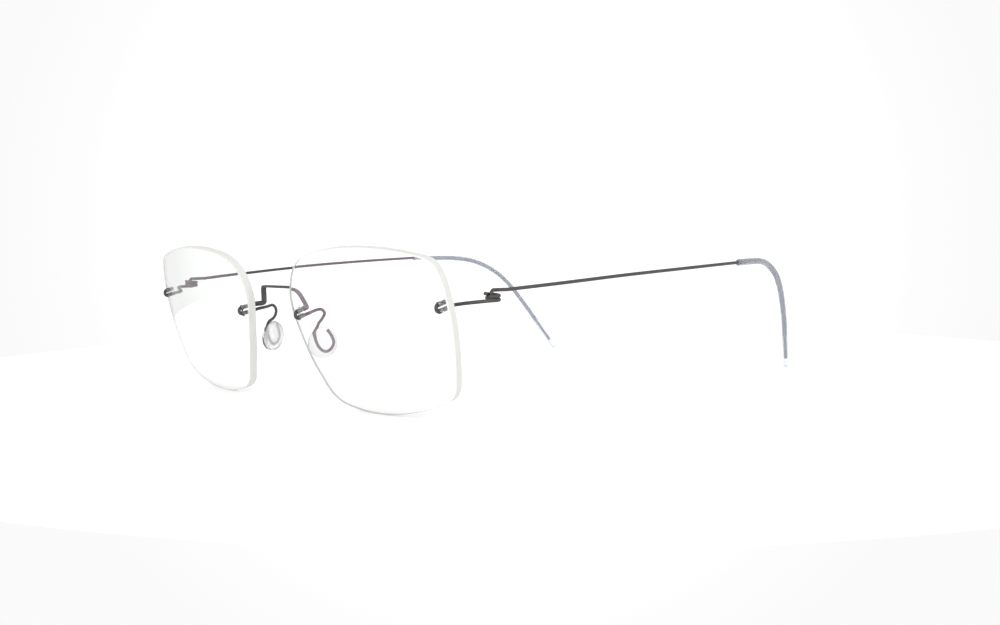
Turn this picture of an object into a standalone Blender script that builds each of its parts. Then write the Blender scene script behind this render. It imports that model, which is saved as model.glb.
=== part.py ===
"""Rimless wire spectacles with screwless coiled-wire hinges.

Axes: +X towards the wearer's left, +Y towards the ears, +Z up. The glasses stand
unfolded on a table, on the lower edges of the lenses and on both temple ends.
The origin is under the middle of the bounding box, on the table.
Working lengths are in millimetres, and MM turns them into metres.
"""

import math

import bmesh
import bpy
from mathutils import Matrix, Vector

MM = 0.001

# Lenses
LENS_CENTRE_X = 35.3
LENS_CENTRE_Z = 18.9
LENS_THICKNESS = 2.15
LENS_RADIUS = 128.0
LENS_WRAP = math.radians(6.0)
LENS_TILT = math.radians(13.5)
LENS_EDGE_BEVEL = 0.2
LENS_INSET_SCALE = 0.99
LENS_INNER_SCALES = (0.3, 0.6, 0.85)
OUTLINE_VERTICES = 72
LENS_OUTLINE = (
    (-25.9, 6.6), (-25.1, 10.4), (-22.9, 14.3), (-18.4, 17.2), (-10.0, 19.2), (0.0, 19.9),
    (10.0, 19.35), (16.4, 18.3), (20.8, 17.2), (23.1, 15.8), (24.5, 13.2), (25.4, 9.6),
    (26.0, 3.0), (25.5, -4.0), (24.5, -9.4), (23.5, -12.8), (21.9, -14.9), (19.0, -16.3),
    (13.4, -18.0), (6.0, -19.4), (-2.4, -19.85), (-8.6, -19.2), (-13.8, -18.0),
    (-16.7, -16.1), (-19.0, -12.4), (-21.4, -8.0), (-24.2, -0.6), (-25.3, 3.2),
)

# Wire
WIRE_RADIUS = 0.41
ARM_RADIUS = 0.36
STRIP_HALF_WIDTH = 0.66
STRIP_HALF_THICKNESS = 0.32
WIRE_SIDES = 8
SPLINE_STEPS = 4
CORNER_STEPS = 4
STRAIGHT_ENOUGH = 0.02

# Hooks through the lenses
HOLE_FROM_EDGE = 2.2
NASAL_HOOK_V = 3.35
TEMPORAL_HOOK_V = 6.45
LEG_PITCH = 1.5
HOOK_DEPTH = 0.55
HOOK_CLEARANCE = 0.1
HOLE_RADIUS = 0.62
HOLE_SIDES = 16
DRILL_OVERRUN = 3.0
BUSH_OUTER_RADIUS = 0.58
BUSH_INNER_RADIUS = 0.45
BUSH_PROUD_FRONT = 0.3
BUSH_PROUD_BACK = 0.7
BUSH_SIDES = 12
TEMPORAL_LEG_BEHIND = 1.3
NASAL_LEG_BEHIND = 2.4
STUB_BEHIND = 1.0
STRIP_LEG_BEHIND = 1.0
HOOK_STEPS = 8

# Hinges
HINGE_X = 63.9
HINGE_Y = 14.1
COIL_START_Z = 27.05
COIL_PITCH = 0.85
COIL_TURNS = 1.6
COIL_STEPS_PER_TURN = 20
COIL_TAIL = 1.5
COIL_LEAD_OUT = 1.2
COIL_LEAD_IN = (0.2, 3.0, 0.05)
PIN_CLEARANCE = 0.08
TEMPLE_START_Z = 29.25
PIN_STRAND_OFFSET = 0.43
ELBOW_RADIUS = 0.7
PIN_END_BELOW = 1.1
ELBOW_STEPS = 6

# Temples, from behind the hinge to the end of the wire
TEMPLE_ROUTE = (
    (64.1, 18.2, 29.2), (66.6, 32.5, 30.15), (68.6, 52.2, 31.4), (69.1, 76.2, 32.5),
    (67.45, 98.1, 33.25), (65.5, 108.1, 33.4), (63.1, 116.5, 33.15), (60.9, 123.3, 31.9),
    (58.9, 130.2, 28.7), (56.9, 135.5, 24.1), (54.3, 141.2, 16.4), (51.9, 145.6, 9.4),
    (49.7, 149.5, 3.1),
)
TIP_START_Y = 99.5
TIP_OUTER_RADIUS = 0.85
TIP_INNER_RADIUS = 0.44
TIP_BEYOND_WIRE = 3.4
TIP_BORE_BEYOND = 0.1
TIP_SIDES = 10
TIP_CAP_STEPS = 4
TIP_CAP_TURN = math.radians(76.0)

# Bridge and pad arms, the half at +X
BRIDGE_STRIP = (
    (0.0, 1.0, 28.9), (2.8, 1.1, 28.9), (5.4, 1.4, 28.85), (7.0, 1.9, 28.7), (8.1, 2.5, 28.3),
    (8.85, 2.95, 27.45), (9.6, 3.5, 25.95),
)
BRIDGE_FOOT = (10.3, 3.95, 24.45)
FOOT_BEND = 0.7
ARM_ROUTE = (
    (11.1, 5.2, 23.35), (11.35, 7.2, 23.65), (11.4, 8.1, 22.75), (10.95, 7.75, 21.4), (10.8, 6.85, 20.3),
)

# Nose pads
PAD_CENTRE = (12.1, 7.25, 15.75)
PAD_SPLAY = math.radians(15.0)
PAD_FLARE = math.radians(6.0)
PAD_HALF_DEPTH = 3.5
PAD_HALF_HEIGHT = 3.8
PAD_THICKNESS = 2.0
PAD_MIDDLE_FROM_WIRE = 0.35
PAD_SIDES = 28
PAD_EDGE = 0.55
PAD_EDGE_MIDDLE = 0.35
PAD_EGG = 0.04
PAD_LOOP = (
    (-1.3, -3.9), (-2.05, -2.65), (-2.0, -0.95), (-1.45, 0.7), (-0.55, 1.85), (0.55, 2.25),
    (1.8, 1.6), (2.45, 0.25), (2.2, -0.95), (1.55, -2.2), (0.95, -2.9),
)
PAD_CHANNEL_RADIUS = 0.43
PAD_CHANNEL_BEYOND = 0.15

# The origin lies this far behind the front of the lenses, under the middle of the whole object
ORIGIN_DEPTH = 73.95


def remove_everything():
    for obj in list(bpy.data.objects):
        bpy.data.objects.remove(obj, do_unlink=True)


def material(name, colour, roughness, metallic=0.0, transmission=0.0, ior=1.5):
    made = bpy.data.materials.new(name)
    made.use_nodes = True
    shader = made.node_tree.nodes["Principled BSDF"]
    shader.inputs["Base Color"].default_value = (*colour, 1.0)
    shader.inputs["Roughness"].default_value = roughness
    shader.inputs["Metallic"].default_value = metallic
    shader.inputs["Transmission Weight"].default_value = transmission
    shader.inputs["IOR"].default_value = ior
    made.diffuse_color = (*colour, 1.0)
    return made


def spline(points, per_span, closed=False):
    """Points on a centripetal Catmull-Rom curve through the given ones."""
    given = [Vector(point) for point in points]
    if closed:
        given = [given[-1], *given, given[0], given[1]]
    else:
        given = [2 * given[0] - given[1], *given, 2 * given[-1] - given[-2]]
    found = []
    for a, b, c, d in zip(given, given[1:], given[2:], given[3:]):
        t1 = (b - a).length ** 0.5
        t2 = t1 + (c - b).length ** 0.5
        t3 = t2 + (d - c).length ** 0.5
        for step in range(per_span):
            t = t1 + (t2 - t1) * step / per_span
            ab = a.lerp(b, t / t1)
            bc = b.lerp(c, (t - t1) / (t2 - t1))
            cd = c.lerp(d, (t - t2) / (t3 - t2))
            abc = ab.lerp(bc, t / t2)
            bcd = bc.lerp(cd, (t - t1) / (t3 - t1))
            found.append(abc.lerp(bcd, (t - t1) / (t2 - t1)))
    if not closed:
        found.append(given[-2].copy())
    return found


def spaced(points, count, closed=False):
    """The given polyline as `count` evenly spaced points."""
    line = [*points, points[0]] if closed else list(points)
    lengths = [0.0]
    for a, b in zip(line, line[1:]):
        lengths.append(lengths[-1] + (b - a).length)
    gaps = count if closed else count - 1
    found = []
    span = 0
    for i in range(count):
        wanted = lengths[-1] * i / gaps
        while span < len(line) - 2 and lengths[span + 1] < wanted:
            span += 1
        part = (wanted - lengths[span]) / (lengths[span + 1] - lengths[span])
        found.append(line[span].lerp(line[span + 1], min(part, 1.0)))
    return found


def arc(centre, first, second, radius, start, end, steps):
    """Points on an arc in the plane of first and second, angles in degrees. Uneven vectors flatten it."""
    found = []
    for i in range(steps + 1):
        angle = math.radians(start + (end - start) * i / steps)
        found.append(centre + radius * (math.cos(angle) * first + math.sin(angle) * second))
    return found


def rounded(points, radius):
    """The given polyline with each inner corner turned on an arc."""
    found = [points[0]]
    for before, corner, after in zip(points, points[1:], points[2:]):
        into = (corner - before).normalized()
        out = (after - corner).normalized()
        turn = into.angle(out)
        if turn < STRAIGHT_ENOUGH:
            found.append(corner)
            continue
        back = radius * math.tan(turn / 2)
        start = corner - back * into
        towards = (out - into * out.dot(into)).normalized()
        centre = start + radius * towards
        found.extend(arc(centre, -towards, into, radius, 0, math.degrees(turn), CORNER_STEPS))
    found.append(points[-1])
    return found


def rings_along(points, half_sizes, width_axis, sides):
    """Elliptical rings along a route, kept from twisting. half_sizes has a pair for each point."""
    rings = []
    width = Vector(width_axis)
    for i, point in enumerate(points):
        ahead = points[min(i + 1, len(points) - 1)] - point
        behind = point - points[max(i - 1, 0)]
        tangent = (ahead.normalized() + behind.normalized()).normalized()
        width = (width - tangent * width.dot(tangent)).normalized()
        height = tangent.cross(width)
        wide, high = half_sizes[i]
        ring = []
        for k in range(sides):
            angle = 2 * math.pi * (k + 0.5) / sides
            ring.append(point + wide * math.cos(angle) * width + high * math.sin(angle) * height)
        rings.append(ring)
    return rings


def bridge_rings(mesh, rings, flip=False):
    """Adds the rings to the mesh and joins each to the next, and returns their vertices."""
    made = [[mesh.verts.new(point) for point in ring] for ring in rings]
    for near, far in zip(made, made[1:]):
        for k in range(len(near)):
            after = (k + 1) % len(near)
            corners = [near[k], near[after], far[after], far[k]]
            mesh.faces.new(reversed(corners) if flip else corners)
    return made


def tube(rings):
    mesh = bmesh.new()
    made = bridge_rings(mesh, rings)
    mesh.faces.new(reversed(made[0]))
    mesh.faces.new(made[-1])
    return mesh


def add_object(name, mesh, look, side=1, pivot=None, guide=False, sharp=40.0):
    """Turns a bmesh in millimetres into an object. side -1 mirrors it to the wearer's right."""
    pivot_point = Vector(pivot) if pivot else Vector((0.0, 0.0, 0.0))
    bmesh.ops.translate(mesh, verts=mesh.verts, vec=-pivot_point)
    bmesh.ops.scale(mesh, verts=mesh.verts, vec=(side * MM, MM, MM))
    bmesh.ops.recalc_face_normals(mesh, faces=mesh.faces)
    data = bpy.data.meshes.new(name)
    mesh.to_mesh(data)
    mesh.free()
    obj = bpy.data.objects.new(name, data)
    bpy.context.scene.collection.objects.link(obj)
    place = pivot_point - Vector((0.0, ORIGIN_DEPTH, 0.0))
    obj.location = (side * place.x * MM, place.y * MM, place.z * MM)
    if guide:
        obj.hide_render = True
        obj.display_type = "WIRE"
        return obj
    data.materials.append(look)
    data.shade_smooth()
    data.set_sharp_from_angle(angle=math.radians(sharp))
    return obj


def cut(obj, cutter):
    modifier = obj.modifiers.new("cut_" + cutter.name, "BOOLEAN")
    modifier.operation = "DIFFERENCE"
    modifier.object = cutter


def joint_empty(name, side):
    empty = bpy.data.objects.new(name, None)
    bpy.context.scene.collection.objects.link(empty)
    empty.location = (side * HINGE_X * MM, (HINGE_Y - ORIGIN_DEPTH) * MM, TEMPLE_START_Z * MM)
    return empty


def hang_on(child, empty):
    child.parent = empty
    child.matrix_parent_inverse = Matrix.Translation(-empty.location)


# Lens frame: u towards the temple, v up the lens, w back through the lens


def lens_axes():
    wrap = Matrix.Rotation(LENS_WRAP, 3, "Z")
    u = wrap @ Vector((1.0, 0.0, 0.0))
    v = wrap @ Vector((0.0, -math.sin(LENS_TILT), math.cos(LENS_TILT)))
    w = wrap @ Vector((0.0, math.cos(LENS_TILT), math.sin(LENS_TILT)))
    return u, v, w


def lens_point(u, v, w):
    u_axis, v_axis, w_axis = lens_axes()
    return Vector((LENS_CENTRE_X, 0.0, LENS_CENTRE_Z)) + u * u_axis + v * v_axis + w * w_axis


def sag(u, v):
    return LENS_RADIUS - math.sqrt(LENS_RADIUS**2 - u**2 - v**2)


def outline():
    return spaced(spline([(u, v, 0.0) for u, v in LENS_OUTLINE], 8, True), OUTLINE_VERTICES, True)


def outline_u(v, side):
    """Where the lens edge is at height v, on its temple side (1) or its nose side (-1)."""
    near = [point for point in outline() if point.x * side > 0]
    return min(near, key=lambda point: abs(point.y - v)).x


def hook_places():
    nasal = (outline_u(NASAL_HOOK_V, -1) + HOLE_FROM_EDGE, NASAL_HOOK_V)
    temporal = (outline_u(TEMPORAL_HOOK_V, 1) - HOLE_FROM_EDGE, TEMPORAL_HOOK_V)
    return {"nasal": nasal, "temporal": temporal}


def lens_mesh():
    """A meniscus of even thickness: front surface from the middle out, the edge, and the back surface in."""
    scales = (*LENS_INNER_SCALES, LENS_INSET_SCALE)
    layers = [(scale, 0.0) for scale in scales]
    layers += [(1.0, LENS_EDGE_BEVEL), (1.0, LENS_THICKNESS - LENS_EDGE_BEVEL)]
    layers += [(scale, LENS_THICKNESS) for scale in reversed(scales)]
    rings = []
    for scale, depth in layers:
        scaled = [point * scale for point in outline()]
        rings.append([lens_point(p.x, p.y, sag(p.x, p.y) + depth) for p in scaled])
    mesh = bmesh.new()
    made = bridge_rings(mesh, rings)
    for ring, offset, flip in ((made[0], 0.0, True), (made[-1], LENS_THICKNESS, False)):
        middle = mesh.verts.new(lens_point(0.0, 0.0, offset))
        for k in range(len(ring)):
            corners = [ring[k], ring[(k + 1) % len(ring)], middle]
            mesh.faces.new(reversed(corners) if flip else corners)
    return mesh


def straight_tube(start, end, outer, sides, inner=None):
    """A rod or, with an inner radius, a sleeve."""
    route = [start, end]
    width = Vector((1.0, 0.0, 0.0))
    rings = rings_along(route, [(outer, outer)] * 2, width, sides)
    if inner is None:
        return tube(rings)
    mesh = bmesh.new()
    inside = rings_along(route, [(inner, inner)] * 2, width, sides)
    bridge_rings(mesh, [rings[0], rings[1], inside[1], inside[0], rings[0]])
    bmesh.ops.remove_doubles(mesh, verts=mesh.verts, dist=1e-5)
    return mesh


def leg_height(v, upper):
    return v + (LEG_PITCH / 2 if upper else -LEG_PITCH / 2)


def make_lens_and_bushes(name, side, lens_look, bush_look):
    lens = add_object(f"lens_{name}", lens_mesh(), lens_look, side, sharp=25.0)
    for where, (u, v) in hook_places().items():
        front = sag(u, v)
        for level, upper in (("upper", True), ("lower", False)):
            height = leg_height(v, upper)
            start = lens_point(u, height, front - DRILL_OVERRUN)
            end = lens_point(u, height, front + LENS_THICKNESS + DRILL_OVERRUN)
            drill = straight_tube(start, end, HOLE_RADIUS, HOLE_SIDES)
            cut(lens, add_object(f"drill_{name}_{where}_{level}", drill, None, side, guide=True))
            start = lens_point(u, height, front - BUSH_PROUD_FRONT)
            end = lens_point(u, height, front + LENS_THICKNESS + BUSH_PROUD_BACK)
            mesh = straight_tube(start, end, BUSH_OUTER_RADIUS, BUSH_SIDES, BUSH_INNER_RADIUS)
            add_object(f"lens_bush_{where}_{level}_{name}", mesh, bush_look, side)


def hook_route(where, first_upper, behind_first, behind_second):
    """The wire's way through one hole, round its hook in front of the lens and back through the other."""
    u, v = hook_places()[where]
    front = sag(u, v)
    _, v_axis, w_axis = lens_axes()
    centre = lens_point(u, v, front - BUSH_PROUD_FRONT - HOOK_CLEARANCE)
    start = 90 if first_upper else -90
    bend = arc(centre, -w_axis * HOOK_DEPTH, v_axis * LEG_PITCH / 2, 1.0, start, -start, HOOK_STEPS)
    first = lens_point(u, leg_height(v, first_upper), front + LENS_THICKNESS + behind_first)
    second = lens_point(u, leg_height(v, not first_upper), front + LENS_THICKNESS + behind_second)
    return [first, *bend, second]


def coil_radius():
    """The coil's bore clears the two strands of the pin, which lie side by side."""
    return PIN_STRAND_OFFSET + WIRE_RADIUS + PIN_CLEARANCE + WIRE_RADIUS


def endpiece_route():
    """Short upper stub, hook, lower leg, then back and up into the hinge coil, which ends in a cut tail."""
    hook = hook_route("temporal", True, STUB_BEHIND, TEMPORAL_LEG_BEHIND)
    radius = coil_radius()
    entry = Vector((HINGE_X + radius, HINGE_Y, COIL_START_Z))
    leaving = hook[-1] + (hook[-1] - hook[-2]).normalized() * COIL_LEAD_OUT
    way = spline([hook[-1], leaving, entry - Vector(COIL_LEAD_IN), entry], SPLINE_STEPS)
    coil = []
    for i in range(1, int(COIL_TURNS * COIL_STEPS_PER_TURN) + 1):
        turn = i / COIL_STEPS_PER_TURN
        angle = 2 * math.pi * turn
        from_axis = Vector((radius * math.cos(angle), radius * math.sin(angle), COIL_PITCH * turn))
        coil.append(Vector((HINGE_X, HINGE_Y, COIL_START_Z)) + from_axis)
    tail = coil[-1] + COIL_TAIL * (coil[-1] - coil[-2]).normalized()
    return [*hook[:-1], *way, *coil, tail]


def make_endpiece(name, side, look):
    route = endpiece_route()
    sizes = [(WIRE_RADIUS, WIRE_RADIUS)] * len(route)
    mesh = tube(rings_along(route, sizes, (1.0, 0.0, 0.0), WIRE_SIDES))
    add_object(f"endpiece_wire_{name}", mesh, look, side)


def temple_curve():
    return spline(TEMPLE_ROUTE, SPLINE_STEPS)


def temple_route():
    """A doubled pin down and up the coil's bore, over the top of the coil, then back to the ear."""
    back = Vector((0.0, 1.0, 0.0))
    up = Vector((0.0, 0.0, 1.0))
    axis = Vector((HINGE_X, HINGE_Y, 0.0))
    elbow_z = TEMPLE_START_Z - ELBOW_RADIUS
    pin_bottom = COIL_START_Z + PIN_STRAND_OFFSET
    pin_end = axis + PIN_STRAND_OFFSET * back + (TEMPLE_START_Z - PIN_END_BELOW) * up
    bottom = arc(axis + pin_bottom * up, back, up, PIN_STRAND_OFFSET, 0, -180, ELBOW_STEPS)
    elbow_centre = axis + (ELBOW_RADIUS - PIN_STRAND_OFFSET) * back + elbow_z * up
    elbow = arc(elbow_centre, back, up, ELBOW_RADIUS, 180, 90, ELBOW_STEPS)
    return [pin_end, *bottom, *elbow, *temple_curve()]


def make_temple(name, side, look, tip_look):
    pivot = (HINGE_X, HINGE_Y, TEMPLE_START_Z)
    empty = joint_empty(f"{name}_temple_hinge", side)
    route = temple_route()
    sizes = [(WIRE_RADIUS, WIRE_RADIUS)] * len(route)
    mesh = tube(rings_along(route, sizes, (1.0, 0.0, 0.0), WIRE_SIDES))
    hang_on(add_object(f"temple_wire_{name}", mesh, look, side, pivot), empty)
    hang_on(add_object(f"temple_tip_{name}", tip_mesh(), tip_look, side, pivot), empty)


def tip_mesh():
    """A soft sleeve over the end of the temple wire, closed and rounded beyond it."""
    covered = [point for point in temple_curve() if point.y > TIP_START_Y]
    end = covered[-1]
    onward = (end - covered[-2]).normalized()
    bore = [*covered, end + TIP_BORE_BEYOND * onward]
    outside = [*covered]
    radii = [TIP_OUTER_RADIUS] * len(covered)
    straight = TIP_BEYOND_WIRE - TIP_OUTER_RADIUS
    for i in range(TIP_CAP_STEPS + 1):
        angle = TIP_CAP_TURN * i / TIP_CAP_STEPS
        outside.append(end + (straight + TIP_OUTER_RADIUS * math.sin(angle)) * onward)
        radii.append(TIP_OUTER_RADIUS * math.cos(angle))
    bore_sizes = [(TIP_INNER_RADIUS, TIP_INNER_RADIUS)] * len(bore)
    outer = rings_along(outside, [(r, r) for r in radii], (1.0, 0.0, 0.0), TIP_SIDES)
    inner = rings_along(bore, bore_sizes, (1.0, 0.0, 0.0), TIP_SIDES)
    mesh = bmesh.new()
    made = bridge_rings(mesh, [*reversed(inner), *outer])
    mesh.faces.new(reversed(made[0]))
    mesh.faces.new(made[-1])
    return mesh


def pad_axes():
    depth = Vector((math.sin(PAD_SPLAY), math.cos(PAD_SPLAY), 0.0))
    down = Vector((math.sin(PAD_FLARE), 0.0, -math.cos(PAD_FLARE)))
    down = (down - depth * down.dot(depth)).normalized()
    nose = depth.cross(down)
    return depth, down, nose * (-1 if nose.x > 0 else 1)


def pad_point(along, down, towards_nose=0.0):
    depth_axis, down_axis, nose_axis = pad_axes()
    return Vector(PAD_CENTRE) + along * depth_axis + down * down_axis + towards_nose * nose_axis


def bridge_half():
    """Route and section sizes from the middle of the bridge to the end of the wire in the pad at +X."""
    strip = spline(BRIDGE_STRIP, SPLINE_STEPS)
    hook = hook_route("nasal", True, STRIP_LEG_BEHIND, NASAL_LEG_BEHIND)
    foot = rounded([strip[-1], Vector(BRIDGE_FOOT), hook[0], hook[1]], FOOT_BEND)[1:-1]
    loop = [pad_point(along, down) for along, down in PAD_LOOP]
    arm = spline([hook[-1], *ARM_ROUTE, *loop], SPLINE_STEPS)
    sections = (
        ([*strip, *foot[:-1]], (STRIP_HALF_WIDTH, STRIP_HALF_THICKNESS)),
        ([foot[-1], *hook[1:-1]], (WIRE_RADIUS, WIRE_RADIUS)),
        (arm, (ARM_RADIUS, ARM_RADIUS)),
    )
    route = [point for points, _ in sections for point in points]
    sizes = [size for points, size in sections for _ in points]
    return route, sizes


def make_bridge(look):
    route, sizes = bridge_half()
    half = rings_along(route, sizes, (0.0, 1.0, 0.0), WIRE_SIDES)
    mirrored = [[Vector((-p.x, p.y, p.z)) for p in ring] for ring in half[1:]]
    add_object("bridge_wire", tube([*reversed(mirrored), *half]), look)


def pad_mesh():
    """A flat oval pad with rounded edges, thicker on the nose side of the wire loop that it is moulded round."""
    mesh = bmesh.new()
    half = PAD_THICKNESS / 2
    middle = PAD_EDGE * PAD_EDGE_MIDDLE
    lower = ((-half, PAD_EDGE), (-half + middle, middle), (-half + PAD_EDGE, 0.0))
    upper = tuple((-level, inset) for level, inset in reversed(lower))
    rings = []
    for level, inset in (*lower, *upper):
        ring = []
        for k in range(PAD_SIDES):
            angle = 2 * math.pi * k / PAD_SIDES
            along = (PAD_HALF_DEPTH - inset) * math.cos(angle)
            down = (PAD_HALF_HEIGHT - inset) * math.sin(angle)
            wide = along * (1.0 + PAD_EGG * math.sin(angle))
            ring.append(pad_point(wide, down, level + PAD_MIDDLE_FROM_WIRE))
        rings.append(ring)
    made = bridge_rings(mesh, rings)
    mesh.faces.new(reversed(made[0]))
    mesh.faces.new(made[-1])
    return mesh


def make_pad(name, side, look):
    pad = add_object(f"nose_pad_{name}", pad_mesh(), look, side)
    loop = [pad_point(along, down) for along, down in PAD_LOOP]
    channel = spline([Vector(ARM_ROUTE[-1]), *loop], SPLINE_STEPS)
    beyond = channel[-1] + PAD_CHANNEL_BEYOND * (channel[-1] - channel[-2]).normalized()
    route = [*channel, beyond]
    sizes = [(PAD_CHANNEL_RADIUS, PAD_CHANNEL_RADIUS)] * len(route)
    mesh = tube(rings_along(route, sizes, (0.0, 1.0, 0.0), WIRE_SIDES + 2))
    cut(pad, add_object(f"channel_{name}", mesh, None, side, guide=True))


def main():
    remove_everything()
    wire = material("dark brown wire", (0.05, 0.04, 0.035), 0.35, metallic=0.8)
    lens = material("clear lens", (0.95, 0.97, 0.95), 0.02, transmission=1.0, ior=1.5)
    bush = material("clear bush", (0.8, 0.82, 0.83), 0.25, transmission=0.8, ior=1.49)
    silicone = material("clear silicone", (0.93, 0.94, 0.93), 0.15, transmission=0.9, ior=1.41)
    make_bridge(wire)
    for name, side in (("left", 1), ("right", -1)):
        make_lens_and_bushes(name, side, lens, bush)
        make_endpiece(name, side, wire)
        make_temple(name, side, wire, silicone)
        make_pad(name, side, silicone)


main()
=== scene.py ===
"""Studio view of rimless wire spectacles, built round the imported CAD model.

Every CAD node is replaced by a finer mesh of the same piece. Lengths below are in
millimetres and MM turns them into metres. +X is the wearer's left, +Y is towards the
ears and +Z is up. ORIGIN_DEPTH is how far the origin lies behind the lens fronts.
"""

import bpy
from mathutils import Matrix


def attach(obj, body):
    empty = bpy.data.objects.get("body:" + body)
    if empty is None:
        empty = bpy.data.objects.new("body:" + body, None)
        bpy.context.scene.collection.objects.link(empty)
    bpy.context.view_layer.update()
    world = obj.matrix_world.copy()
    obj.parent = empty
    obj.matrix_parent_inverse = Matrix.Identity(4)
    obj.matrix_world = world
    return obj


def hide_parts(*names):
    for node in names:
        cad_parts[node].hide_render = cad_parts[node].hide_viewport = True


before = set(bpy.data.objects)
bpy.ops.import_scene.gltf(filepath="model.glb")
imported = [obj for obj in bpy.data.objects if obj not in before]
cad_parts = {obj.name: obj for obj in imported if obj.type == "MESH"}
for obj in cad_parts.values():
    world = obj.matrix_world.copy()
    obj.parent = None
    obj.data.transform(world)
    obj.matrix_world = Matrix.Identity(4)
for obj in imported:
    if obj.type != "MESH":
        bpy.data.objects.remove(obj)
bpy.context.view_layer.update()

import math

import bmesh
import bpy
from mathutils import Matrix, Vector

MM = 0.001
ORIGIN_DEPTH = 73.95

# Camera: its place in metres, its angles in degrees and its lens in millimetres
CAMERA_PLACE = (0.25212, -0.23762, 0.04095)
CAMERA_AZIMUTH = 46.306
CAMERA_ELEVATION = 3.668
CAMERA_ROLL = -0.552
CAMERA_LENS = 43.207
CAMERA_NEAREST = 0.005
CAMERA_FARTHEST = 20.0
SENSOR_WIDTH = 36.0

# Lenses
LENS_CENTRE_X = 35.3
LENS_CENTRE_Z = 18.9
LENS_THICKNESS = 2.15
LENS_RADIUS = 128.0
LENS_WRAP = math.radians(6.0)
LENS_TILT = math.radians(13.5)
LENS_EDGE_BEVEL = 0.2
LENS_SHARP = 22.0
LENS_RING_SCALES = (0.04, 0.12, 0.22, 0.33, 0.44, 0.55, 0.66, 0.76, 0.85, 0.92, 0.965, 0.985, 0.9905)
LENS_EDGE_LEVELS = (0.15, 0.38, 0.62, 0.85)
OUTLINE_VERTICES = 288
OUTLINE_STEPS = 8
HOOK_OUTLINE_VERTICES = 72
LENS_OUTLINE = (
    (-25.9, 6.6), (-25.1, 10.4), (-22.9, 14.3), (-18.4, 17.2), (-10.0, 19.2), (0.0, 19.9),
    (10.0, 19.35), (16.4, 18.3), (20.8, 17.2), (23.1, 15.8), (24.5, 13.2), (25.4, 9.6),
    (26.0, 3.0), (25.5, -4.0), (24.5, -9.4), (23.5, -12.8), (21.9, -14.9), (19.0, -16.3),
    (13.4, -18.0), (6.0, -19.4), (-2.4, -19.85), (-8.6, -19.2), (-13.8, -18.0),
    (-16.7, -16.1), (-19.0, -12.4), (-21.4, -8.0), (-24.2, -0.6), (-25.3, 3.2),
)

# Wire
WIRE_RADIUS = 0.41
ARM_RADIUS = 0.36
STRIP_HALF_WIDTH = 0.66
STRIP_HALF_THICKNESS = 0.32
ROUND_POWER = 2.0
STRIP_POWER = 4.5
WIRE_SIDES = 28
SPLINE_STEPS = 20
CORNER_STEPS = 14
STRAIGHT_ENOUGH = 0.02
END_CHAMFER = 0.07
WIRE_SHARP = 40.0
SAME_PLACE = 1e-5

# Hooks through the lenses
HOLE_FROM_EDGE = 2.2
NASAL_HOOK_V = 3.35
TEMPORAL_HOOK_V = 6.45
LEG_PITCH = 1.5
HOOK_DEPTH = 0.55
HOOK_CLEARANCE = 0.1
HOOK_STEPS = 28
HOLE_RADIUS = 0.62
HOLE_FLARE = 0.12
HOLE_SIDES = 40
DRILL_OVERRUN = 3.0
BUSH_OUTER_RADIUS = 0.58
BUSH_INNER_RADIUS = 0.45
BUSH_PROUD_FRONT = 0.3
BUSH_PROUD_BACK = 0.7
BUSH_ROUNDING = 0.05
BUSH_INNER_ROUNDING = 0.025
BUSH_SIDES = 40
BUSH_SHARP = 50.0
TEMPORAL_LEG_BEHIND = 1.3
NASAL_LEG_BEHIND = 2.4
STUB_BEHIND = 1.0
STRIP_LEG_BEHIND = 1.0

# Hinges
HINGE_X = 63.9
HINGE_Y = 14.1
COIL_START_Z = 27.05
COIL_PITCH = 0.85
COIL_TURNS = 1.6
COIL_STEPS_PER_TURN = 60
COIL_TAIL = 1.5
COIL_LEAD_OUT = 1.2
COIL_LEAD_IN = (0.2, 3.0, 0.05)
PIN_CLEARANCE = 0.08
TEMPLE_START_Z = 29.25
PIN_STRAND_OFFSET = 0.43
ELBOW_RADIUS = 0.7
PIN_END_BELOW = 1.1
ELBOW_STEPS = 16

# Temples
TEMPLE_ROUTE = (
    (64.1, 18.2, 29.2), (66.6, 32.5, 30.15), (68.6, 52.2, 31.4), (69.1, 76.2, 32.5),
    (67.45, 98.1, 33.25), (65.5, 108.1, 33.4), (63.1, 116.5, 33.15), (60.9, 123.3, 31.9),
    (58.9, 130.2, 28.7), (56.9, 135.5, 24.1), (54.3, 141.2, 16.4), (51.9, 145.6, 9.4),
    (49.7, 149.5, 3.1),
)
GROUND_END_LENGTH = 8.6
GROUND_END_RADIUS = 0.31
TIP_START_Y = 99.5
TIP_OUTER_RADIUS = 0.85
TIP_BEYOND_WIRE = 3.4
TIP_SIDES = 36
TIP_CAP_STEPS = 12
TIP_CAP_TURN = math.radians(88.0)
TIP_SHARP = 50.0

# Bridge and pad arms, the half at +X
BRIDGE_STRIP = (
    (0.0, 1.0, 28.9), (2.8, 1.1, 28.9), (5.4, 1.4, 28.85), (7.0, 1.9, 28.7), (8.1, 2.5, 28.3),
    (8.85, 2.95, 27.45), (9.6, 3.5, 25.95),
)
BRIDGE_FOOT = (10.3, 3.95, 24.45)
FOOT_BEND = 0.7
FOOT_STAYS_FLAT = 0.5
ARM_ROUTE = (
    (11.1, 5.2, 23.35), (11.35, 7.2, 23.65), (11.4, 8.1, 22.75), (10.95, 7.75, 21.4),
    (10.8, 6.85, 20.3),
)

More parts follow.
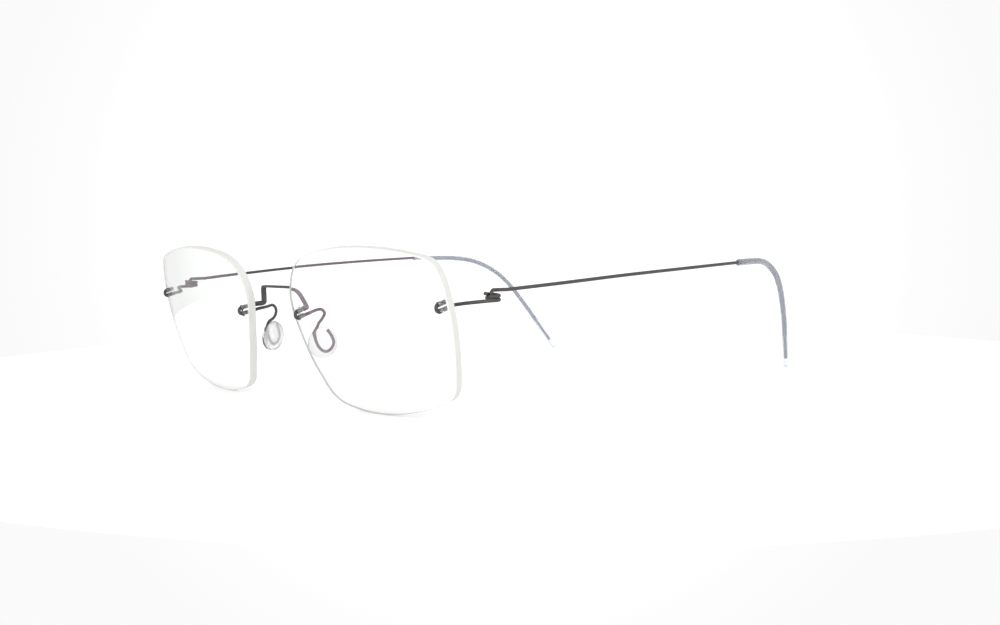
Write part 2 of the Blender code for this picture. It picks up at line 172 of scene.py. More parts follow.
# Nose pads
PAD_CENTRE = (12.1, 7.25, 15.75)
PAD_SPLAY = math.radians(15.0)
PAD_FLARE = math.radians(6.0)
PAD_HALF_DEPTH = 3.5
PAD_HALF_HEIGHT = 3.8
PAD_THICKNESS = 2.0
PAD_MIDDLE_FROM_WIRE = 0.35
PAD_SIDES = 96
PAD_EDGE = 0.8
PAD_EDGE_STEPS = 10
PAD_FACE_SCALES = (0.9, 0.75, 0.55, 0.35, 0.15)
PAD_DISH = 0.06
PAD_EGG = 0.04
PAD_SHARP = 60.0
PAD_LOOP = (
    (-1.3, -3.9), (-2.05, -2.65), (-2.0, -0.95), (-1.45, 0.7), (-0.55, 1.85), (0.55, 2.25),
    (1.8, 1.6), (2.45, 0.25), (2.2, -0.95), (1.55, -2.2), (0.95, -2.9),
)

# Materials. Colours run between two shades where the noise is between TINT_START and TINT_END.
TINT_START = 0.3
TINT_END = 0.7
HAZE_SPREAD = 0.2
# Each clear plastic: its name, its two shades, roughness, transmission and index of refraction
CLEAR_PLASTICS = {
    "hole": ("drilled wall on its bush", (0.94, 0.95, 0.95), (0.98, 0.98, 0.98), 0.05, 1.0, 1.01),
    "bush": ("clear bush", (0.88, 0.90, 0.91), (0.93, 0.94, 0.95), 0.06, 0.86, 1.12),
    "pad": ("clear silicone pad", (0.95, 0.955, 0.955), (0.98, 0.98, 0.98), 0.1, 0.94, 1.41),
    "pad_face": ("matt silicone face", (0.95, 0.955, 0.955), (0.99, 0.99, 0.99), 0.7, 0.72, 1.41),
    "sleeve": ("clear silicone sleeve", (0.83, 0.86, 0.92), (0.85, 0.88, 0.94), 0.25, 0.9, 1.41),
}

# Stage, in metres
TABLE_RADIUS = 0.195
TABLE_CENTRE = (0.0026, 0.0142)
TABLE_THICKNESS = 0.0015
TABLE_ROUNDING = 0.0005
TABLE_MIDDLE_RADIUS = 0.001
TABLE_SIDES = 256
TABLE_ROUNDING_STEPS = 8
TABLE_SHARP = 40.0
# Emission on the white table top: painted light that washes out the glasses' shadows, not a lamp
TABLE_PAINTED_GLOW = 0.12
# Faces steeper than this form the table's rim, which is painted a darker grey as shade
PAINTED_SHADE_RIM_SLOPE = 0.7
# The backdrop behind the glasses, and the studio round it. Each pair is the cosine of the angle
# from the backdrop's middle and the brightness there.
BACKDROP_DIRECTION = (-0.723, 0.691, 0.0)
STUDIO_BRIGHTNESS = (
    (-1.0, 1.8), (-0.35, 1.7), (-0.1, 1.1), (0.2, 0.8), (0.65, 0.72), (0.85, 0.96),
    (0.923, 0.957), (0.937, 0.974), (0.949, 0.991), (0.96, 1.05), (0.975, 1.14), (1.0, 1.2),
)
BRIGHTEST = 2.0


# Curves


def spline(points, per_span, closed=False):
    """Points on a centripetal Catmull-Rom curve through the given ones."""
    given = [Vector(point) for point in points]
    if closed:
        given = [given[-1], *given, given[0], given[1]]
    else:
        given = [2 * given[0] - given[1], *given, 2 * given[-1] - given[-2]]
    found = []
    for a, b, c, d in zip(given, given[1:], given[2:], given[3:]):
        t1 = (b - a).length ** 0.5
        t2 = t1 + (c - b).length ** 0.5
        t3 = t2 + (d - c).length ** 0.5
        for step in range(per_span):
            t = t1 + (t2 - t1) * step / per_span
            ab = a.lerp(b, t / t1)
            bc = b.lerp(c, (t - t1) / (t2 - t1))
            cd = c.lerp(d, (t - t2) / (t3 - t2))
            abc = ab.lerp(bc, t / t2)
            bcd = bc.lerp(cd, (t - t1) / (t3 - t1))
            found.append(abc.lerp(bcd, (t - t1) / (t2 - t1)))
    if not closed:
        found.append(given[-2].copy())
    return found


def spaced(points, count):
    """A closed polyline as `count` evenly spaced points."""
    line = [*points, points[0]]
    lengths = [0.0]
    for a, b in zip(line, line[1:]):
        lengths.append(lengths[-1] + (b - a).length)
    found = []
    span = 0
    for i in range(count):
        wanted = lengths[-1] * i / count
        while span < len(line) - 2 and lengths[span + 1] < wanted:
            span += 1
        part = (wanted - lengths[span]) / (lengths[span + 1] - lengths[span])
        found.append(line[span].lerp(line[span + 1], min(part, 1.0)))
    return found


def arc(centre, first, second, radius, start, end, steps):
    """Points on an arc in the plane of first and second, angles in degrees. Uneven vectors flatten it."""
    found = []
    for i in range(steps + 1):
        angle = math.radians(start + (end - start) * i / steps)
        found.append(centre + radius * (math.cos(angle) * first + math.sin(angle) * second))
    return found


def rounded(points, radius):
    """The given polyline with each inner corner turned on an arc."""
    found = [points[0]]
    for before, corner, after in zip(points, points[1:], points[2:]):
        into = (corner - before).normalized()
        out = (after - corner).normalized()
        turn = into.angle(out)
        if turn < STRAIGHT_ENOUGH:
            found.append(corner)
            continue
        start = corner - radius * math.tan(turn / 2) * into
        towards = (out - into * out.dot(into)).normalized()
        centre = start + radius * towards
        found.extend(arc(centre, -towards, into, radius, 0, math.degrees(turn), CORNER_STEPS))
    found.append(points[-1])
    return found


def distances(points):
    """How far along the polyline each point is."""
    found = [0.0]
    for a, b in zip(points, points[1:]):
        found.append(found[-1] + (b - a).length)
    return found


# Tubes. A section is (half width, half height, power): power 2 is an ellipse, and more is squarer


def section_point(width, height, section, angle):
    wide, high, power = section
    across = math.copysign(abs(math.cos(angle)) ** (2.0 / power), math.cos(angle))
    up = math.copysign(abs(math.sin(angle)) ** (2.0 / power), math.sin(angle))
    return wide * across * width + high * up * height


def rings_along(points, sections, width_axis, sides):
    """Rings along a route, kept from twisting, with one section for each point."""
    rings = []
    width = Vector(width_axis)
    for i, point in enumerate(points):
        ahead = points[min(i + 1, len(points) - 1)] - point
        behind = point - points[max(i - 1, 0)]
        tangent = (ahead.normalized() + behind.normalized()).normalized()
        width = (width - tangent * width.dot(tangent)).normalized()
        height = tangent.cross(width)
        angles = [2 * math.pi * (k + 0.5) / sides for k in range(sides)]
        rings.append([point + section_point(width, height, sections[i], angle) for angle in angles])
    return rings


def bridge_rings(mesh, rings):
    """Adds the rings to the mesh and joins each to the next, and returns their vertices."""
    made = [[mesh.verts.new(point) for point in ring] for ring in rings]
    for near, far in zip(made, made[1:]):
        for k in range(len(near)):
            after = (k + 1) % len(near)
            mesh.faces.new([near[k], near[after], far[after], far[k]])
    return made


def close_ring(mesh, ring, middle, flip):
    """A fan of triangles from a ring to a point."""
    centre = mesh.verts.new(middle)
    for k in range(len(ring)):
        corners = [ring[k], ring[(k + 1) % len(ring)], centre]
        mesh.faces.new(reversed(corners) if flip else corners)


def middle_of(ring):
    return sum(ring, Vector((0.0, 0.0, 0.0))) / len(ring)


def chamfered(rings, chamfer, which):
    """The end ring pulled in, so that a cut wire has its burr taken off. which is 0 or -1."""
    ring = rings[which]
    inner = rings[1 if which == 0 else -2]
    centre = middle_of(ring)
    outward = (centre - middle_of(inner)).normalized()
    radius = (ring[0] - centre).length
    small = [centre + (point - centre) * (1.0 - chamfer / radius) for point in ring]
    held = [point - outward * chamfer for point in ring]
    return [small, held] if which == 0 else [held, small]


def closed_mesh(rings):
    """The rings joined up, with a fan of triangles over each end."""
    mesh = bmesh.new()
    made = bridge_rings(mesh, rings)
    close_ring(mesh, made[0], middle_of(rings[0]), True)
    close_ring(mesh, made[-1], middle_of(rings[-1]), False)
    return mesh


def tube(rings):
    """A closed tube with its cut ends slightly chamfered."""
    start = chamfered(rings, END_CHAMFER, 0)
    end = chamfered(rings, END_CHAMFER, -1)
    return closed_mesh([*start, *rings[1:-1], *end])


# Objects


def add_piece(name, mesh, looks, side=1, sharp=WIRE_SHARP):
    """Turns a bmesh in millimetres into an object. side -1 mirrors it to the wearer's right."""
    bmesh.ops.translate(mesh, verts=mesh.verts, vec=(0.0, -ORIGIN_DEPTH, 0.0))
    bmesh.ops.scale(mesh, verts=mesh.verts, vec=(side * MM, MM, MM))
    bmesh.ops.recalc_face_normals(mesh, faces=mesh.faces)
    data = bpy.data.meshes.new(name)
    mesh.to_mesh(data)
    mesh.free()
    for look in looks:
        data.materials.append(look)
    data.shade_smooth()
    data.set_sharp_from_angle(angle=math.radians(sharp))
    obj = bpy.data.objects.new(name, data)
    bpy.context.scene.collection.objects.link(obj)
    return obj


def stand_in(obj, node, body):
    """The piece replaces a CAD node, which is hidden, and rides on its body."""
    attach(obj, body)
    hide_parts(node)


def cut_for_good(obj, cutters, sharp):
    """Cuts the cutters out of the object and keeps the result as its mesh."""
    for cutter in cutters:
        modifier = obj.modifiers.new("cut_" + cutter.name, "BOOLEAN")
        modifier.operation = "DIFFERENCE"
        modifier.solver = "EXACT"
        modifier.material_mode = "TRANSFER"
        modifier.object = cutter
    bpy.context.view_layer.update()
    graph = bpy.context.evaluated_depsgraph_get()
    data = bpy.data.meshes.new_from_object(obj.evaluated_get(graph), depsgraph=graph)
    obj.modifiers.clear()
    obj.data = data
    data.set_sharp_from_angle(angle=math.radians(sharp))
    for cutter in cutters:
        bpy.data.objects.remove(cutter, do_unlink=True)


# Lens frame: u towards the temple, v up the lens, w back through the lens


def lens_axes():
    wrap = Matrix.Rotation(LENS_WRAP, 3, "Z")
    u = wrap @ Vector((1.0, 0.0, 0.0))
    v = wrap @ Vector((0.0, -math.sin(LENS_TILT), math.cos(LENS_TILT)))
    w = wrap @ Vector((0.0, math.cos(LENS_TILT), math.sin(LENS_TILT)))
    return u, v, w


def lens_point(u, v, w):
    u_axis, v_axis, w_axis = lens_axes()
    return Vector((LENS_CENTRE_X, 0.0, LENS_CENTRE_Z)) + u * u_axis + v * v_axis + w * w_axis


def sag(u, v):
    return LENS_RADIUS - math.sqrt(LENS_RADIUS**2 - u**2 - v**2)


def outline(count):
    return spaced(spline([(u, v, 0.0) for u, v in LENS_OUTLINE], OUTLINE_STEPS, True), count)


def outline_u(v, side):
    """Where the lens edge is at height v, on its temple side (1) or its nose side (-1)."""
    near = [point for point in outline(HOOK_OUTLINE_VERTICES) if point.x * side > 0]
    return min(near, key=lambda point: abs(point.y - v)).x


def hook_places():
    nasal = (outline_u(NASAL_HOOK_V, -1) + HOLE_FROM_EDGE, NASAL_HOOK_V)
    temporal = (outline_u(TEMPORAL_HOOK_V, 1) - HOLE_FROM_EDGE, TEMPORAL_HOOK_V)
    return {"nasal": nasal, "temporal": temporal}


def lens_mesh():
    """Front surface from the middle out, ground edge between two small bevels, and back surface in.

    Each layer has its scale, its depth and the material slot of the faces that lead to it.
    """
    edge = outline(OUTLINE_VERTICES)
    polished, ground = 0, 1
    layers = [(scale, 0.0, polished) for scale in LENS_RING_SCALES]
    wall = LENS_THICKNESS - 2 * LENS_EDGE_BEVEL
    levels = [0.0, *LENS_EDGE_LEVELS, 1.0]
    layers += [(1.0, LENS_EDGE_BEVEL + wall * level, ground) for level in levels]
    for scale in reversed(LENS_RING_SCALES):
        slot = ground if scale == LENS_RING_SCALES[-1] else polished
        layers.append((scale, LENS_THICKNESS, slot))
    rings = []
    for scale, depth, _ in layers:
        scaled = [point * scale for point in edge]
        rings.append([lens_point(p.x, p.y, sag(p.x, p.y) + depth) for p in scaled])
    mesh = bmesh.new()
    made = bridge_rings(mesh, rings)
    close_ring(mesh, made[0], lens_point(0.0, 0.0, 0.0), True)
    close_ring(mesh, made[-1], lens_point(0.0, 0.0, LENS_THICKNESS), False)
    mesh.faces.ensure_lookup_table()
    for i, (_, _, slot) in enumerate(layers[1:]):
        for k in range(OUTLINE_VERTICES):
            mesh.faces[i * OUTLINE_VERTICES + k].material_index = slot
    return mesh


def revolved(start, end, profile, sides):
    """Rings turned about the line from start to end. profile has (share of the way, radius) pairs."""
    along = end - start
    width = Vector((1.0, 0.0, 0.0))
    width = (width - along.normalized() * width.dot(along.normalized())).normalized()
    height = along.normalized().cross(width)
    rings = []
    for share, radius in profile:
        ring = []
        for k in range(sides):
            angle = 2 * math.pi * (k + 0.5) / sides
            outward = math.cos(angle) * width + math.sin(angle) * height
            ring.append(start + share * along + radius * outward)
        rings.append(ring)
    return rings


def drill_mesh(start, end, front, back):
    """A drill whose sides flare where it meets the two lens surfaces, given as shares of its length."""
    length = (end - start).length
    flare = HOLE_FLARE / length
    wide = HOLE_RADIUS + 2 * HOLE_FLARE
    profile = (
        (0.0, wide), (front - flare, wide), (front + flare, HOLE_RADIUS),
        (back - flare, HOLE_RADIUS), (back + flare, wide), (1.0, wide),
    )
    mesh = bmesh.new()
    made = bridge_rings(mesh, revolved(start, end, profile, HOLE_SIDES))
    mesh.faces.new(reversed(made[0]))
    mesh.faces.new(made[-1])
    return mesh


def bush_mesh(start, end):
    """A sleeve with rounded rims."""
    length = (end - start).length
    outer_edge = BUSH_ROUNDING / length
    inner_edge = BUSH_INNER_ROUNDING / length
    outer, inner = BUSH_OUTER_RADIUS, BUSH_INNER_RADIUS
    outer_rim = outer - BUSH_ROUNDING
    inner_rim = inner + BUSH_INNER_ROUNDING
    profile = (
        (outer_edge, outer), (1.0 - outer_edge, outer), (1.0, outer_rim), (1.0, inner_rim),
        (1.0 - inner_edge, inner), (inner_edge, inner), (0.0, inner_rim), (0.0, outer_rim),
        (outer_edge, outer),
    )
    mesh = bmesh.new()
    bridge_rings(mesh, revolved(start, end, profile, BUSH_SIDES))
    bmesh.ops.remove_doubles(mesh, verts=mesh.verts, dist=SAME_PLACE)
    return mesh


def leg_height(v, upper):
    return v + (LEG_PITCH / 2 if upper else -LEG_PITCH / 2)


def make_lens_and_bushes(name, side, looks):
    lens_looks = [looks["lens"], looks["ground"]]
    lens = add_piece(f"lens_piece_{name}", lens_mesh(), lens_looks, side, LENS_SHARP)
    overrun = DRILL_OVERRUN / (LENS_THICKNESS + 2 * DRILL_OVERRUN)
    cutters = []
    for where, (u, v) in hook_places().items():
        front = sag(u, v)
        back = front + LENS_THICKNESS
        for level, upper in (("upper", True), ("lower", False)):
            height = leg_height(v, upper)
            start = lens_point(u, height, front - DRILL_OVERRUN)
            end = lens_point(u, height, back + DRILL_OVERRUN)
            drill = drill_mesh(start, end, overrun, 1.0 - overrun)
            cutters.append(add_piece(f"drill_{name}_{where}_{level}", drill, [looks["hole"]], side))
            start = lens_point(u, height, front - BUSH_PROUD_FRONT)
            end = lens_point(u, height, back + BUSH_PROUD_BACK)
            mesh = bush_mesh(start, end)
            bush = add_piece(f"bush_{where}_{level}_{name}", mesh, [looks["bush"]], side, BUSH_SHARP)
            stand_in(bush, f"lens_bush_{where}_{level}_{name}", "front")
    cut_for_good(lens, cutters, LENS_SHARP)
    stand_in(lens, f"lens_{name}", "front")


def hook_route(where, first_upper, behind_first, behind_second):
    """The wire's way through one hole, round its hook in front of the lens and back through the other."""
    u, v = hook_places()[where]
    front = sag(u, v)
    _, v_axis, w_axis = lens_axes()
    centre = lens_point(u, v, front - BUSH_PROUD_FRONT - HOOK_CLEARANCE)
    start = 90 if first_upper else -90
    bend = arc(centre, -w_axis * HOOK_DEPTH, v_axis * LEG_PITCH / 2, 1.0, start, -start, HOOK_STEPS)
    first = lens_point(u, leg_height(v, first_upper), front + LENS_THICKNESS + behind_first)
    second = lens_point(u, leg_height(v, not first_upper), front + LENS_THICKNESS + behind_second)
    return [first, *bend, second]


def coil_radius():
    """The coil's bore clears the two strands of the pin, which lie side by side."""
    return PIN_STRAND_OFFSET + WIRE_RADIUS + PIN_CLEARANCE + WIRE_RADIUS


def endpiece_route():
    """Short upper stub, hook, lower leg, then back and up into the hinge coil, which ends in a cut tail."""
    hook = hook_route("temporal", True, STUB_BEHIND, TEMPORAL_LEG_BEHIND)
    radius = coil_radius()
    entry = Vector((HINGE_X + radius, HINGE_Y, COIL_START_Z))
    leaving = hook[-1] + (hook[-1] - hook[-2]).normalized() * COIL_LEAD_OUT
    way = spline([hook[-1], leaving, entry - Vector(COIL_LEAD_IN), entry], SPLINE_STEPS)
    coil = []
    for i in range(1, int(COIL_TURNS * COIL_STEPS_PER_TURN) + 1):
        turn = i / COIL_STEPS_PER_TURN
        angle = 2 * math.pi * turn
        from_axis = Vector((radius * math.cos(angle), radius * math.sin(angle), COIL_PITCH * turn))
        coil.append(Vector((HINGE_X, HINGE_Y, COIL_START_Z)) + from_axis)
    tail = coil[-1] + COIL_TAIL * (coil[-1] - coil[-2]).normalized()
    return [*hook[:-1], *way, *coil, tail]


def temple_curve():
    return spline(TEMPLE_ROUTE, SPLINE_STEPS)


def temple_route():
    """A doubled pin down and up the coil's bore, over the top of the coil, then back to the ear."""
    back = Vector((0.0, 1.0, 0.0))
    up = Vector((0.0, 0.0, 1.0))
    axis = Vector((HINGE_X, HINGE_Y, 0.0))
    elbow_z = TEMPLE_START_Z - ELBOW_RADIUS
    pin_bottom = COIL_START_Z + PIN_STRAND_OFFSET
    pin_end = axis + PIN_STRAND_OFFSET * back + (TEMPLE_START_Z - PIN_END_BELOW) * up
    bottom = arc(axis + pin_bottom * up, back, up, PIN_STRAND_OFFSET, 0, -180, ELBOW_STEPS)
    elbow_centre = axis + (ELBOW_RADIUS - PIN_STRAND_OFFSET) * back + elbow_z * up
    elbow = arc(elbow_centre, back, up, ELBOW_RADIUS, 180, 90, ELBOW_STEPS)
    return [pin_end, *bottom, *elbow, *temple_curve()]


def make_endpiece(name, side, looks):
    route = endpiece_route()
    sections = [(WIRE_RADIUS, WIRE_RADIUS, ROUND_POWER)] * len(route)
    mesh = tube(rings_along(route, sections, (1.0, 0.0, 0.0), WIRE_SIDES))
    obj = add_piece(f"end_wire_{name}", mesh, [looks["wire"]], side)
    stand_in(obj, f"endpiece_wire_{name}", "front")


def make_temple(name, side, looks):
    route = temple_route()
    along = distances(route)
    ground_from = along[-1] - GROUND_END_LENGTH
    sections = []
    for distance in along:
        radius = GROUND_END_RADIUS if distance > ground_from else WIRE_RADIUS
        sections.append((radius, radius, ROUND_POWER))
    mesh = tube(rings_along(route, sections, (1.0, 0.0, 0.0), WIRE_SIDES))
    coated, bare = 0, 1
    for face in mesh.faces:
        face.material_index = bare if face.calc_center_median().y > TIP_START_Y else coated
    wire = add_piece(f"temple_{name}", mesh, [looks["wire"], looks["bare"]], side)
    stand_in(wire, f"temple_wire_{name}", f"{name}_temple")
    sleeve = add_piece(f"temple_sleeve_{name}", tip_mesh(), [looks["sleeve"]], side, TIP_SHARP)
    stand_in(sleeve, f"temple_tip_{name}", f"{name}_temple")


def tip_mesh():
    """A soft sleeve moulded round the end of the temple wire, closed and rounded beyond it."""
    covered = [point for point in temple_curve() if point.y > TIP_START_Y]
    end = covered[-1]
    onward = (end - covered[-2]).normalized()
    outside = [*covered]
    radii = [TIP_OUTER_RADIUS] * len(covered)
    straight = TIP_BEYOND_WIRE - TIP_OUTER_RADIUS
    for i in range(TIP_CAP_STEPS + 1):
        angle = TIP_CAP_TURN * i / TIP_CAP_STEPS
        outside.append(end + (straight + TIP_OUTER_RADIUS * math.sin(angle)) * onward)
        radii.append(TIP_OUTER_RADIUS * math.cos(angle))
    rings = rings_along(outside, [(r, r, ROUND_POWER) for r in radii], (1.0, 0.0, 0.0), TIP_SIDES)
    return closed_mesh([*chamfered(rings, END_CHAMFER, 0), *rings[1:]])


def pad_axes():
    depth = Vector((math.sin(PAD_SPLAY), math.cos(PAD_SPLAY), 0.0))
    down = Vector((math.sin(PAD_FLARE), 0.0, -math.cos(PAD_FLARE)))
    down = (down - depth * down.dot(depth)).normalized()
    nose = depth.cross(down)
    return depth, down, nose * (-1 if nose.x > 0 else 1)


def pad_point(along, down, towards_nose=0.0):
    depth_axis, down_axis, nose_axis = pad_axes()
    return Vector(PAD_CENTRE) + along * depth_axis + down * down_axis + towards_nose * nose_axis


def blended(first, second, share):
    return tuple(a + (b - a) * share for a, b in zip(first, second))


def bridge_half():
    """Route and sections from the middle of the bridge to the end of the wire in the pad at +X.

    The strip stays flat for the first part of the bend at its foot, and is round after it.
    """
    strip = spline(BRIDGE_STRIP, SPLINE_STEPS)
    hook = hook_route("nasal", True, STRIP_LEG_BEHIND, NASAL_LEG_BEHIND)
    foot = rounded([strip[-1], Vector(BRIDGE_FOOT), hook[0], hook[1]], FOOT_BEND)[1:-1]
    loop = [pad_point(along, down) for along, down in PAD_LOOP]
    arm = spline([hook[-1], *ARM_ROUTE, *loop], SPLINE_STEPS)
    flat = (STRIP_HALF_WIDTH, STRIP_HALF_THICKNESS, STRIP_POWER)
    whole = (WIRE_RADIUS, WIRE_RADIUS, ROUND_POWER)
    thin = (ARM_RADIUS, ARM_RADIUS, ROUND_POWER)
    route = [*strip, *foot[:-1]]
    sections = [flat] * len(route)
    turned = len(foot) - 1
    for i in range(turned):
        share = max(0.0, ((i + 1) / turned - FOOT_STAYS_FLAT) / (1.0 - FOOT_STAYS_FLAT))
        sections[len(strip) + i] = blended(flat, whole, share)
    route += [foot[-1], *hook[1:-1]]
    sections += [whole] * (len(hook) - 1)
    for distance in distances(arm):
        sections.append(blended(whole, thin, min(distance / NASAL_LEG_BEHIND, 1.0)))
    return [*route, *arm], sections


def make_bridge(looks):
    route, sections = bridge_half()
    half = rings_along(route, sections, (0.0, 1.0, 0.0), WIRE_SIDES)
    mirrored = [[Vector((-p.x, p.y, p.z)) for p in ring] for ring in half[1:]]
    obj = add_piece("bridge_piece", tube([*reversed(mirrored), *half]), [looks["wire"]])
    stand_in(obj, "bridge_wire", "front")


def pad_mesh():
    """An oval pad with a round edge and faintly dished faces."""
    half = PAD_THICKNESS / 2
    layers = []
    for scale in reversed(PAD_FACE_SCALES):
        layers.append((half - PAD_DISH * (1.0 - scale**2), PAD_EDGE, scale))
    for i in range(PAD_EDGE_STEPS + 1):
        angle = math.pi / 2 * i / PAD_EDGE_STEPS
        level = half - PAD_EDGE + PAD_EDGE * math.cos(angle)
        layers.append((level, PAD_EDGE * (1.0 - math.sin(angle)), 1.0))
    layers += [(-level, inset, scale) for level, inset, scale in reversed(layers)]
    rings = []
    for level, inset, scale in layers:
        ring = []
        for k in range(PAD_SIDES):
            angle = 2 * math.pi * k / PAD_SIDES
            along = scale * (PAD_HALF_DEPTH - inset) * math.cos(angle)
            down = scale * (PAD_HALF_HEIGHT - inset) * math.sin(angle)
            wide = along * (1.0 + PAD_EGG * math.sin(angle))
            ring.append(pad_point(wide, down, level + PAD_MIDDLE_FROM_WIRE))
        rings.append(ring)
    mesh = closed_mesh(rings)
    nose_axis = pad_axes()[2]
    rim = nose_axis.dot(pad_point(0.0, 0.0, PAD_MIDDLE_FROM_WIRE + half - PAD_EDGE))
    clear, matt = 0, 1
    for face in mesh.faces:
        face.material_index = matt if nose_axis.dot(face.calc_center_median()) > rim else clear
    return mesh


def make_pad(name, side, looks):
    obj = add_piece(f"pad_{name}", pad_mesh(), [looks["pad"], looks["pad_face"]], side, PAD_SHARP)
    stand_in(obj, f"nose_pad_{name}", "front")


# Materials


def new_material(name):
    made = bpy.data.materials.new(name)
    made.use_nodes = True
    return made, made.node_tree, made.node_tree.nodes["Principled BSDF"]


def add_node(tree, kind, inputs=None, **settings):
    node = tree.nodes.new(kind)
    for key, value in settings.items():
        setattr(node, key, value)
    for key, value in (inputs or {}).items():
        node.inputs[key].default_value = value
    return node


def noise(tree, scale, detail, roughness=0.55):
    """Noise in the object's own metres. scale is repeats in a metre."""
    coords = add_node(tree, "ShaderNodeTexCoord")
    inputs = {"Scale": scale, "Detail": detail, "Roughness": roughness}
    texture = add_node(tree, "ShaderNodeTexNoise", inputs)
    tree.links.new(coords.outputs["Object"], texture.inputs["Vector"])
    return texture.outputs["Fac"]


def ramp(tree, fac, stops):
    node = add_node(tree, "ShaderNodeValToRGB")
    elements = node.color_ramp.elements
    while len(elements) < len(stops):
        elements.new(0.5)  # moved to its place below
    for element, (place, colour) in zip(elements, stops):
        element.position = place
        element.color = (*colour, 1.0)
    tree.links.new(fac, node.inputs["Fac"])
    return node.outputs["Color"]


def tint(tree, shader, fac, low, high):
    """Mottles the base colour between two near shades."""
    colour = ramp(tree, fac, ((TINT_START, low), (TINT_END, high)))
    tree.links.new(colour, shader.inputs["Base Color"])


def ranged(tree, fac, low, high):
    node = add_node(tree, "ShaderNodeMapRange", {"To Min": low, "To Max": high})
    tree.links.new(fac, node.inputs["Value"])
    return node.outputs["Result"]


def bump(tree, shader, height, strength, distance):
    node = add_node(tree, "ShaderNodeBump", {"Strength": strength, "Distance": distance})
    tree.links.new(height, node.inputs["Height"])
    tree.links.new(node.outputs["Normal"], shader.inputs["Normal"])


def wire_material():
    """Dark grey-brown coated metal with a satin drawn finish."""
    made, tree, shader = new_material("dark coated wire")
    cloudy = noise(tree, scale=900.0, detail=3.0)
    fine = noise(tree, scale=6000.0, detail=5.0, roughness=0.6)
    tint(tree, shader, cloudy, low=(0.058, 0.053, 0.053), high=(0.080, 0.074, 0.074))
    tree.links.new(ranged(tree, fine, low=0.38, high=0.55), shader.inputs["Roughness"])
    shader.inputs["Metallic"].default_value = 0.12
    shader.inputs["Specular IOR Level"].default_value = 0.15
    bump(tree, shader, fine, strength=0.05, distance=0.00001)
    return made


def bare_material():
    """Bare blue-grey metal under the sleeve, where the wire is not coated."""
    made, tree, shader = new_material("ground bare metal")
    fine = noise(tree, scale=5000.0, detail=4.0, roughness=0.6)
    tint(tree, shader, fine, low=(0.30, 0.308, 0.345), high=(0.34, 0.348, 0.388))
    tree.links.new(ranged(tree, fine, low=0.38, high=0.46), shader.inputs["Roughness"])
    shader.inputs["Metallic"].default_value = 0.8
    bump(tree, shader, fine, strength=0.04, distance=0.00001)
    return made


def lens_material():
    """Polished clear plastic with a faint violet reflection from its coating."""
    made, tree, shader = new_material("clear coated lens")
    cloudy = noise(tree, scale=40.0, detail=2.0)
    tint(tree, shader, cloudy, low=(0.985, 0.995, 0.985), high=(0.992, 0.998, 0.99))
    shader.inputs["Roughness"].default_value = 0.0
    shader.inputs["Transmission Weight"].default_value = 1.0
    shader.inputs["IOR"].default_value = 1.5
    shader.inputs["Specular Tint"].default_value = (1.0, 0.5, 0.9, 1.0)
    return made


def ground_material():
    """The lens's ground edge: pale, matt and slightly see-through."""
    made, tree, shader = new_material("ground lens edge")
    fine = noise(tree, scale=9000.0, detail=5.0, roughness=0.65)
    tint(tree, shader, fine, low=(0.75, 0.76, 0.73), high=(0.80, 0.81, 0.78))
    tree.links.new(ranged(tree, fine, low=0.45, high=0.65), shader.inputs["Roughness"])
    shader.inputs["Transmission Weight"].default_value = 0.3
    shader.inputs["IOR"].default_value = 1.5
    bump(tree, shader, fine, strength=0.3, distance=0.00002)
    return made


def clear_plastic(name, low, high, roughness, transmission, ior):
    """Clear moulded plastic or silicone with a little haze. low and high are the ends of its tint."""
    made, tree, shader = new_material(name)
    fine = noise(tree, scale=2500.0, detail=3.0)
    tint(tree, shader, fine, low, high)
    haze = ranged(tree, fine, roughness * (1.0 - HAZE_SPREAD), roughness * (1.0 + HAZE_SPREAD))
    tree.links.new(haze, shader.inputs["Roughness"])
    shader.inputs["Transmission Weight"].default_value = transmission
    shader.inputs["IOR"].default_value = ior
    return made


def stage_material(name, low, high, painted_glow=0.0):
    """Plain white plastic. Its emission is painted light that washes out shadows on the table; no lamp is
    below it.
    """
    made, tree, shader = new_material(name)
    shader.inputs["Emission Color"].default_value = (1.0, 1.0, 1.0, 1.0)
    shader.inputs["Emission Strength"].default_value = painted_glow
    tint(tree, shader, noise(tree, scale=30.0, detail=3.0), low, high)
    shader.inputs["Roughness"].default_value = 0.6
    return made


# Stage, light and camera


def table_mesh():
    """A disc with a rounded rim, open below. It is flat, and made from its middle out."""
    profile = [(TABLE_MIDDLE_RADIUS, 0.0), (TABLE_RADIUS / 2, 0.0)]
    for i in range(TABLE_ROUNDING_STEPS + 1):
        angle = math.pi / 2 * i / TABLE_ROUNDING_STEPS
        across = TABLE_RADIUS - TABLE_ROUNDING + TABLE_ROUNDING * math.sin(angle)
        profile.append((across, TABLE_ROUNDING * math.cos(angle) - TABLE_ROUNDING))
    profile.append((TABLE_RADIUS, -TABLE_THICKNESS))
    rings = []
    for across, level in profile:
        ring = []
        for k in range(TABLE_SIDES):
            turn = 2 * math.pi * k / TABLE_SIDES
            ring.append(Vector((across * math.cos(turn), across * math.sin(turn), level)))
        rings.append(ring)
    mesh = bmesh.new()
    made = bridge_rings(mesh, rings)
    mesh.faces.new(reversed(made[0]))
    bmesh.ops.recalc_face_normals(mesh, faces=mesh.faces)
    return mesh


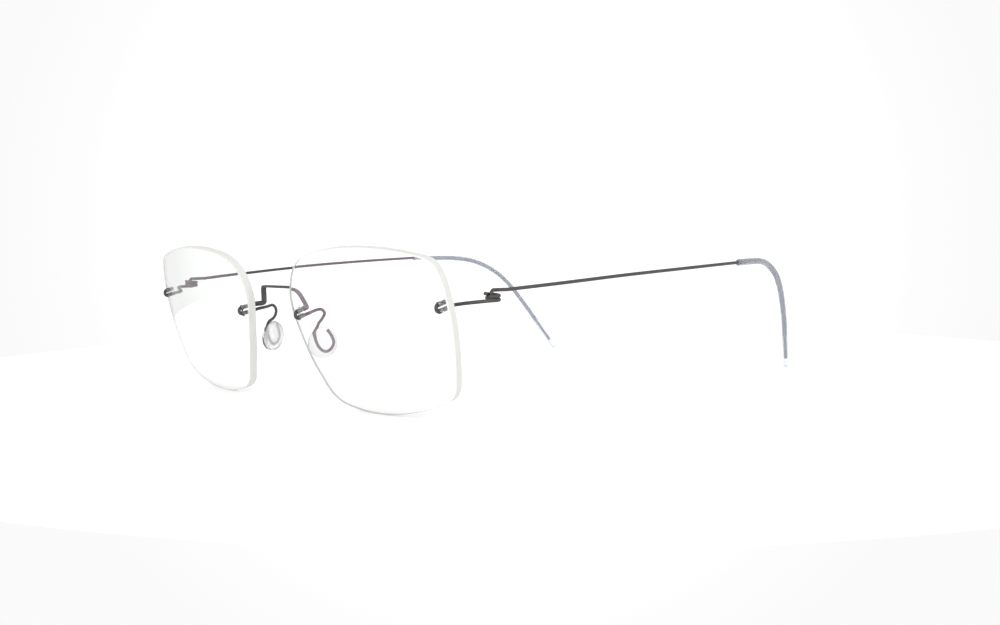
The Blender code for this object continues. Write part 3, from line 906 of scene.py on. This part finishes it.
def make_table():
    """A round white table, the plain floor that the object stands on."""
    mesh = table_mesh()
    data = bpy.data.meshes.new("table")
    mesh.to_mesh(data)
    mesh.free()
    # The top's emission is painted light, which hides the shadows under the glasses
    top_look = stage_material("white table", (0.95, 0.95, 0.95), (0.97, 0.97, 0.97), TABLE_PAINTED_GLOW)
    data.materials.append(top_look)
    # The rim is the same white plastic painted grey: painted shade on the table's side
    data.materials.append(stage_material("white table rim with painted shade", (0.60, 0.60, 0.60), (0.62, 0.62, 0.62)))
    top, rim = 0, 1
    for face in data.polygons:
        face.material_index = rim if abs(face.normal.z) < PAINTED_SHADE_RIM_SLOPE else top
    data.shade_smooth()
    data.set_sharp_from_angle(angle=math.radians(TABLE_SHARP))
    obj = bpy.data.objects.new("table", data)
    obj.location = (*TABLE_CENTRE, 0.0)
    bpy.context.scene.collection.objects.link(obj)


def make_world():
    """A white backdrop that fades a little to its sides, and bright soft light from all round."""
    world = bpy.data.worlds.new("studio")
    bpy.context.scene.world = world
    world.use_nodes = True
    tree = world.node_tree
    coords = add_node(tree, "ShaderNodeTexCoord")
    along = add_node(tree, "ShaderNodeVectorMath", operation="DOT_PRODUCT")
    along.inputs[1].default_value = BACKDROP_DIRECTION
    tree.links.new(coords.outputs["Generated"], along.inputs[0])
    share = add_node(tree, "ShaderNodeMapRange", {"From Min": -1.0, "From Max": 1.0})
    tree.links.new(along.outputs["Value"], share.inputs["Value"])
    stops = [((cosine + 1.0) / 2.0, (level / BRIGHTEST,) * 3) for cosine, level in STUDIO_BRIGHTNESS]
    background = tree.nodes["Background"]
    tree.links.new(ramp(tree, share.outputs["Result"], stops), background.inputs["Color"])
    background.inputs["Strength"].default_value = BRIGHTEST


def make_camera():
    azimuth = math.radians(CAMERA_AZIMUTH)
    elevation = math.radians(CAMERA_ELEVATION)
    roll = math.radians(CAMERA_ROLL)
    back = Vector((
        math.sin(azimuth) * math.cos(elevation),
        -math.cos(azimuth) * math.cos(elevation),
        math.sin(elevation),
    ))
    level_right = Vector((math.cos(azimuth), math.sin(azimuth), 0.0))
    level_up = back.cross(level_right)
    right = math.cos(roll) * level_right + math.sin(roll) * level_up
    up = math.cos(roll) * level_up - math.sin(roll) * level_right
    data = bpy.data.cameras.new("camera")
    data.lens = CAMERA_LENS
    data.sensor_width = SENSOR_WIDTH
    data.sensor_fit = "HORIZONTAL"
    data.clip_start = CAMERA_NEAREST
    data.clip_end = CAMERA_FARTHEST
    camera = bpy.data.objects.new("camera", data)
    bpy.context.scene.collection.objects.link(camera)
    turn = Matrix((right, up, back)).transposed().to_4x4()
    camera.matrix_world = Matrix.Translation(CAMERA_PLACE) @ turn
    bpy.context.scene.camera = camera


def main():
    looks = {
        "wire": wire_material(),
        "lens": lens_material(),
        "ground": ground_material(),
        "bare": bare_material(),
    }
    for key, settings in CLEAR_PLASTICS.items():
        looks[key] = clear_plastic(*settings)
    make_bridge(looks)
    for name, side in (("left", 1), ("right", -1)):
        make_lens_and_bushes(name, side, looks)
        make_endpiece(name, side, looks)
        make_temple(name, side, looks)
        make_pad(name, side, looks)
    make_table()
    make_world()
    make_camera()
    bpy.context.scene.view_settings.view_transform = "Standard"


main()
